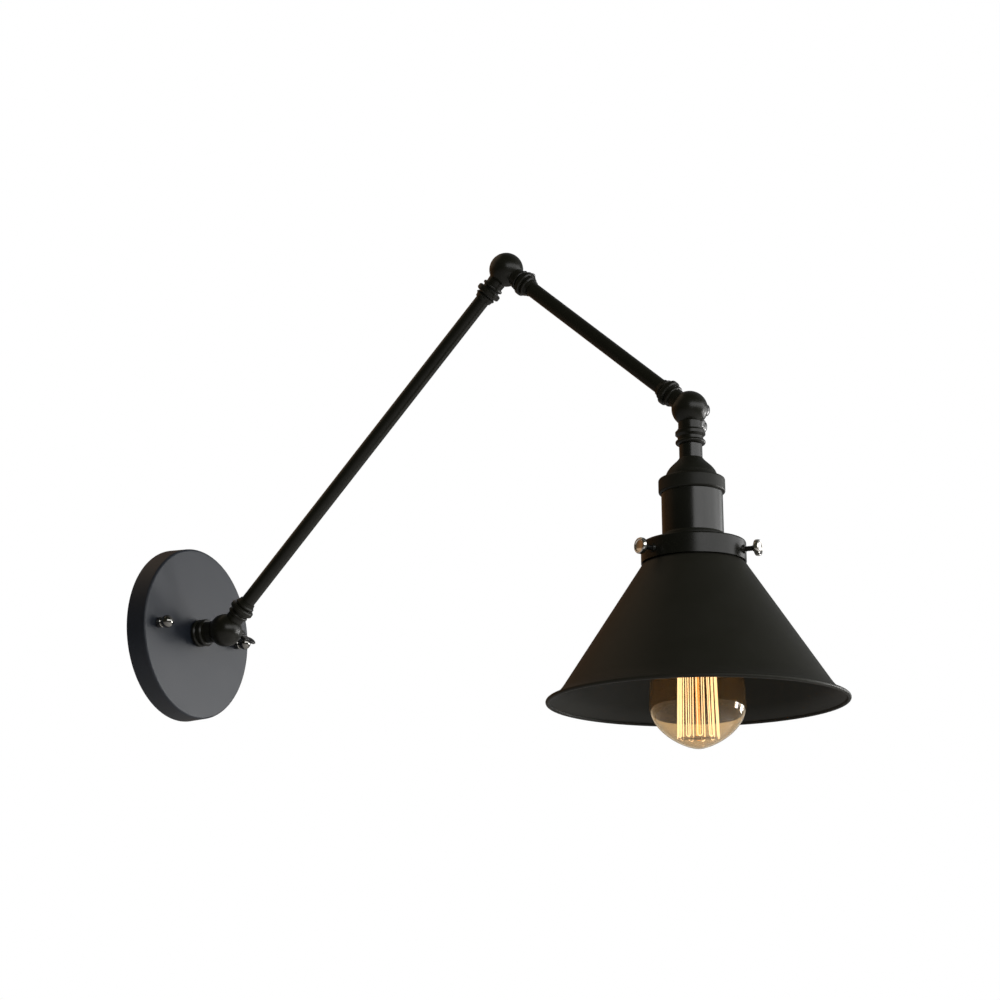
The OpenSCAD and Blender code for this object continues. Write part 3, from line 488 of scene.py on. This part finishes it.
def turned(name, outline, sides, middle=on_axis):
    """Turns an outline of (radius, height) points round the upright axis, by drawing a ring out along it."""
    bpy.ops.object.select_all(action="DESELECT")
    radius, height = outline[0]
    bpy.ops.mesh.primitive_circle_add(vertices=sides, radius=max(radius, POLE), location=middle(height))
    piece = bpy.context.object
    piece.name = piece.data.name = name
    bpy.ops.object.transform_apply(location=True)
    bpy.ops.object.mode_set(mode="EDIT")
    bpy.ops.mesh.select_all(action="SELECT")
    for (near, low), (far, high) in zip(outline, outline[1:]):
        bpy.ops.mesh.extrude_region_move(TRANSFORM_OT_translate={"value": middle(high) - middle(low)})
        growth = max(far, POLE) / max(near, POLE)
        bpy.ops.transform.resize(value=(growth, growth, 1), center_override=middle(high))
    bpy.ops.mesh.select_all(action="SELECT")
    bpy.ops.mesh.remove_doubles(threshold=WELD)
    bpy.ops.mesh.normals_make_consistent(inside=False)
    bpy.ops.object.mode_set(mode="OBJECT")
    return piece


def cubic(points, steps):
    """Points along a cubic curve."""
    made = []
    for i in range(steps + 1):
        u = i / steps
        weights = ((1 - u) ** 3, 3 * (1 - u) ** 2 * u, 3 * (1 - u) * u * u, u ** 3)
        made.append(tuple(sum(w * p[k] for w, p in zip(weights, points)) for k in (0, 1)))
    return made


# Below the head hinge, lengths run downward: a piece drawn that way is turned over about X
HEAD_FRAME = Matrix.Translation(HEAD_HINGE) @ Matrix.Rotation(math.pi, 4, "X")


def stations(name):
    """First and last distance of a node below the head hinge."""
    low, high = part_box(name)
    return HEAD_HINGE.z - high[2], HEAD_HINGE.z - low[2]


def widest(name):
    """Largest radius of a round node about the head's axis."""
    low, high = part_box(name)
    return (high[0] - low[0]) / 2


# Bulb glass

GLASS_WALL = 0.8 * MM
GLASS_INSET = 0.9 * MM
GLASS_STEPS = 28
GLASS_SIDES = 112
# Share of the height between tip and cap at which the glass is fullest, and where its curves are pulled to
FULLEST_SHARE = 0.24
TIP_SHARES = (0.24, 1.01, 0.33)
SIDE_SHARES = (0.38, 0.42)


def blow_glass():
    """The glass of the bulb: blunt tip, fullest near the rim of the shade, drawn in to the cap."""
    top, tip = stations("bulb_glass")
    cap_end = stations("bulb_cap")[1]
    full = widest("bulb_glass")
    neck = widest("bulb_cap") - GLASS_INSET
    full_at = tip - (tip - cap_end) * FULLEST_SHARE
    drop = full_at - cap_end
    tip_curve = ((0, tip), (full * TIP_SHARES[0], tip),
                 (full * TIP_SHARES[1], tip - full * TIP_SHARES[2]), (full, full_at))
    side_curve = ((full, full_at), (full, full_at - drop * SIDE_SHARES[0]),
                  (neck, cap_end + drop * SIDE_SHARES[1]), (neck, cap_end))
    outside = cubic(tip_curve, GLASS_STEPS) + cubic(side_curve, GLASS_STEPS)[1:] + [(neck, top)]
    inside = []
    for i, (radius, height) in enumerate(outside):
        before, after = outside[max(i - 1, 0)], outside[min(i + 1, len(outside) - 1)]
        along = Vector((after[0] - before[0], after[1] - before[1])).normalized()
        inside.append((max(radius + along.y * GLASS_WALL, 0), height - (along.x if i else 1) * GLASS_WALL))
    inside[-1] = (neck - GLASS_WALL, top)
    piece = turned("glass_of_bulb", outside + inside[::-1], GLASS_SIDES)
    finish_piece(put(piece, HEAD_FRAME), "bulb", "bulb_glass", "amber_glass")


# Bulb cap

THREAD_PITCH = 3.63 * MM
THREAD_SWING = 0.36 * MM
THREAD_STEPS = 12
CAP_SIDES = 96
CAP_SHEET = 0.4 * MM
CAP_ROUND = 1.2 * MM
# Share of the rounding at which its corner is cut
CAP_CORNER = 0.3
CAP_HOLE = 6.0 * MM
CAP_SMOOTH = 50
SKIRT_STEP = 0.8 * MM
SKIRT_INSET = 0.88 * MM


def roll_cap():
    """The bulb's brass cap: a thread rolled into its sheet, between a rounded end and a plain skirt."""
    top, end = stations("bulb_cap")
    crest = widest("bulb_cap")
    side = crest - THREAD_SWING
    first, skirt = top + CAP_ROUND, stations("bulb_glass")[0]
    last = skirt - SKIRT_STEP

    def wandering(height):
        """The middle of a ring runs round the axis, which draws the thread, and is on it at both ends."""
        turns, left = (height - first) / THREAD_PITCH, (last - height) / THREAD_PITCH
        swing = THREAD_SWING * max(min(1, turns, left), 0)
        return Vector((swing * math.cos(TURN * turns), swing * math.sin(TURN * turns), height))

    count = round((last - first) / THREAD_PITCH * THREAD_STEPS)
    heights = [first + (last - first) * i / count for i in range(count + 1)]
    corner = CAP_CORNER * CAP_ROUND
    outside = [(CAP_HOLE, top), (side - CAP_ROUND, top), (side - corner, top + corner)]
    outside += [(side, height) for height in heights] + [(crest, skirt), (crest, end)]
    inside = [(crest - SKIRT_INSET, end), (crest - SKIRT_INSET, skirt)]
    inside += [(side - CAP_SHEET, height) for height in heights[::-1]]
    inside += [(side - CAP_ROUND, top + CAP_SHEET), (CAP_HOLE, top + CAP_SHEET), (CAP_HOLE, top)]
    piece = turned("cap_of_bulb", outside + inside, CAP_SIDES, wandering)
    finish_piece(put(piece, HEAD_FRAME), "bulb", "bulb_cap", "brass_sheet", CAP_SMOOTH)


# Filament

HOOKS = 11
STRAND = 0.33 * MM
STRAND_ROUNDING = 2
# Turned by a quarter of a bend, so that the far strands show between the near ones
CAGE_TURN = math.pi / HOOKS / 4
UPPER_SHARE = 0.87
LOOP = 1.35 * MM
LOOP_STEPS = 8
LOOP_ROOM = 0.15 * MM


def cage_place(index, radius, height):
    """A point of the cage at a bend's number."""
    angle = math.pi * index / HOOKS + CAGE_TURN
    return Vector((radius * math.cos(angle), radius * math.sin(angle), height))


def string_filament():
    """One carbonised thread that runs up and down round the cage and loops over each hook."""
    top, bottom = stations("filament")
    lower = widest("filament") - STRAND - LOOP_ROOM
    path = []
    for i in range(2 * HOOKS):
        low = i % 2 == 1
        radius = lower if low else lower * UPPER_SHARE
        height = bottom - LOOP - STRAND if low else top + LOOP + STRAND
        middle = cage_place(i, radius, height)
        side = (cage_place(i + 1, radius, height) - cage_place(i - 1, radius, height)).normalized()
        out = Vector((0, 0, 1 if low else -1))
        for step in range(LOOP_STEPS + 1):
            angle = math.pi * step / LOOP_STEPS
            path.append(middle - side * math.cos(angle) * LOOP + out * math.sin(angle) * LOOP)
    wire = bpy.data.curves.new("thread", "CURVE")
    wire.dimensions = "3D"
    wire.bevel_depth = STRAND
    wire.bevel_resolution = STRAND_ROUNDING
    spline = wire.splines.new("POLY")
    spline.points.add(len(path) - 1)
    for point, place in zip(spline.points, path):
        point.co = (*place, 1)
    spline.use_cyclic_u = True
    piece = bpy.data.objects.new("filament_thread", wire)
    bpy.context.scene.collection.objects.link(piece)
    take(piece)
    bpy.ops.object.convert(target="MESH")
    piece = bpy.context.object
    finish_piece(put(piece, HEAD_FRAME), "bulb", "filament", "glowing_filament")


# Wing screws: along the screw, the ears are placed back from its end and the hub out from its seat

# Turn of each screw's wings about its shaft, in degrees: level at 0 and 180, upright at 90
WING_TURNS = {"base": 220, "elbow": 160, "head": 102}
WING_REACH = 17 * MM
WING_GRAIN = 0.24 * MM
WING_SMOOTHING = 12
TURNED_SIDES = 48
EAR_SIZE = (1.5 * MM, 3.7 * MM, 4.0 * MM)
EAR_OUT = 5.3 * MM
EAR_BACK = 4.0 * MM
EAR_SIDES, EAR_RINGS = 40, 20
ROOT_SIZE = (2.1 * MM, 4.4 * MM, 9 * MM)
ROOT_OUT = 3.1 * MM
ROOT_BACK = 8.4 * MM
ROOT_SHIFT = 1.2 * MM
ROOT_SPREAD = 13
ROOT_EDGE = 0.3
ROOT_EDGE_STEPS = 3
# Radius and distance out from the seat, in millimetres
WING_HUB = ((0, 0), (4.2, 0), (4.2, 0.9), (3.5, 1.2), (3.3, 3.6), (2.7, 5.8), (1.2, 6.9), (0, 7))
SHAFT_R = 2 * MM
SHAFT_TIP_R = 1.6 * MM
SHAFT_CHAMFER = 0.4 * MM
SHAFT_IN_HUB = 1 * MM


def ear_root(place, spread):
    """The block that carries an ear, with rounded edges, leaning outward by an angle in degrees."""
    bpy.ops.mesh.primitive_cube_add(size=1, location=place)
    piece = bpy.context.object
    piece.scale = ROOT_SIZE
    bpy.ops.object.transform_apply(location=True, rotation=True, scale=True)
    apply_modifier(piece, "edges", "BEVEL", width=min(ROOT_SIZE) * ROOT_EDGE, segments=ROOT_EDGE_STEPS)
    there = Matrix.Translation(place)
    lean = there @ Matrix.Rotation(math.radians(spread), 4, "X") @ there.inverted()
    shift = Matrix.Translation((0, math.copysign(ROOT_SHIFT, spread), 0))
    return put(piece, shift @ lean)


def ear_lobe(place):
    """The flattened ball that a finger pushes."""
    bpy.ops.mesh.primitive_uv_sphere_add(segments=EAR_SIDES, ring_count=EAR_RINGS, radius=1, location=place)
    piece = bpy.context.object
    piece.scale = EAR_SIZE
    bpy.ops.object.transform_apply(location=True, rotation=True, scale=True)
    return piece


def cast_wing_screw(name):
    """A cast screw with two ears on a turned hub, and its shaft through the knuckle."""
    cad_node = name + "_wing_screw"
    hinge = HINGES[name + "_hinge"]
    low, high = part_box(cad_node)
    start, end = low[0] - hinge.x, high[0] - hinge.x
    seat = end - WING_REACH
    ears = []
    for side in (-1, 1):
        bpy.ops.object.select_all(action="DESELECT")
        ears.append(ear_lobe((0, side * EAR_OUT, end - EAR_BACK)))
        ears.append(ear_root((0, side * ROOT_OUT, end - ROOT_BACK), side * ROOT_SPREAD))
    hub = turned("hub", [(radius * MM, seat + out * MM) for radius, out in WING_HUB], TURNED_SIDES)
    head = joined([hub] + ears)
    apply_modifier(head, "cast", "REMESH", mode="VOXEL", voxel_size=WING_GRAIN)
    apply_modifier(head, "smooth", "SMOOTH", factor=0.5, iterations=WING_SMOOTHING)
    shaft = turned("shaft", [(0, start), (SHAFT_TIP_R, start), (SHAFT_R, start + SHAFT_CHAMFER),
                             (SHAFT_R, seat + SHAFT_IN_HUB), (0, seat + SHAFT_IN_HUB)], TURNED_SIDES)
    piece = joined([head, shaft])
    piece.name = piece.data.name = "wing_of_" + name
    wings = Matrix.Rotation(math.radians(WING_TURNS[name]), 4, "X")
    frame_of_screw = Matrix.Translation(hinge) @ wings @ Matrix.Rotation(QUARTER, 4, "Y")
    finish_piece(put(piece, frame_of_screw), name + "_wing", cad_node, "screw_black")


# Thumb screws of the shade

# Heading of each screw round the shade ring, in degrees
THUMB_HEADINGS = {"1": -86, "2": 34, "3": 154}
SHADE_RING_R = widest("shade_ring")
SHADE_NECK_R = SHADE_RING_R - 2.6 * MM
THUMB_SEAT = SHADE_RING_R + 7.0 * MM
THUMB_FOOT = SHADE_NECK_R + 0.1 * MM
THUMB_HEIGHT = 5.4 * MM
THUMB_SIDES = 64
THUMB_SMOOTH = 32
THUMB_FOOT_R = 1.1 * MM
THUMB_SHAFT_R = 1.5 * MM
THUMB_CHAMFER = 0.4 * MM
# Radius and distance out from the seat, in millimetres: waist, rim and the dish in the face
THUMB_HEAD = ((1.5, -1.6), (1.9, -1.1), (2.4, -0.3), (3.9, 0), (4.6, 0.35), (4.9, 1.0), (4.9, 2.5),
              (4.65, 3.1), (4.15, 3.38), (3.75, 3.3), (3.3, 2.8), (1.6, 2.45), (0, 2.4))
# The shaft is black up to this short of the seat
THUMB_BLACK_GAP = 0.2 * MM


def turn_thumb_screw(number):
    """A shade screw: black shaft, waisted neck and a round nickel head dished on its face."""
    outline = [(0, THUMB_FOOT), (THUMB_FOOT_R, THUMB_FOOT), (THUMB_SHAFT_R, THUMB_FOOT + THUMB_CHAMFER)]
    outline += [(radius * MM, THUMB_SEAT + out * MM) for radius, out in THUMB_HEAD]
    piece = turned("thumb_" + number, outline, THUMB_SIDES)
    height = stations("shade_ring")[1] - THUMB_HEIGHT
    heading = Matrix.Rotation(math.radians(-THUMB_HEADINGS[number]), 4, "Z")
    seat_frame = HEAD_FRAME @ heading @ Matrix.Translation((0, 0, height)) @ Matrix.Rotation(QUARTER, 4, "Y")
    finish_piece(put(piece, seat_frame), "thumb_screw_" + number, "shade_screw_" + number,
                 "polished_nickel", THUMB_SMOOTH)
    piece.data.materials.append(FINISHES["screw_black"])
    for face in piece.data.polygons:
        reach = math.hypot(face.center.x - HEAD_HINGE.x, face.center.y - HEAD_HINGE.y)
        face.material_index = int(reach < THUMB_SEAT - THUMB_BLACK_GAP)


bpy.ops.object.select_all(action="DESELECT")
aim_camera()
paint_world()
for lamp in LAMPS:
    hang_lamp(*lamp)
lay_floor()
finish_frame()
blow_glass()
roll_cap()
string_filament()
for hinge_name in WING_TURNS:
    cast_wing_screw(hinge_name)
for screw_number in THUMB_HEADINGS:
    turn_thumb_screw(screw_number)

bpy.context.scene.view_settings.view_transform = "Standard"
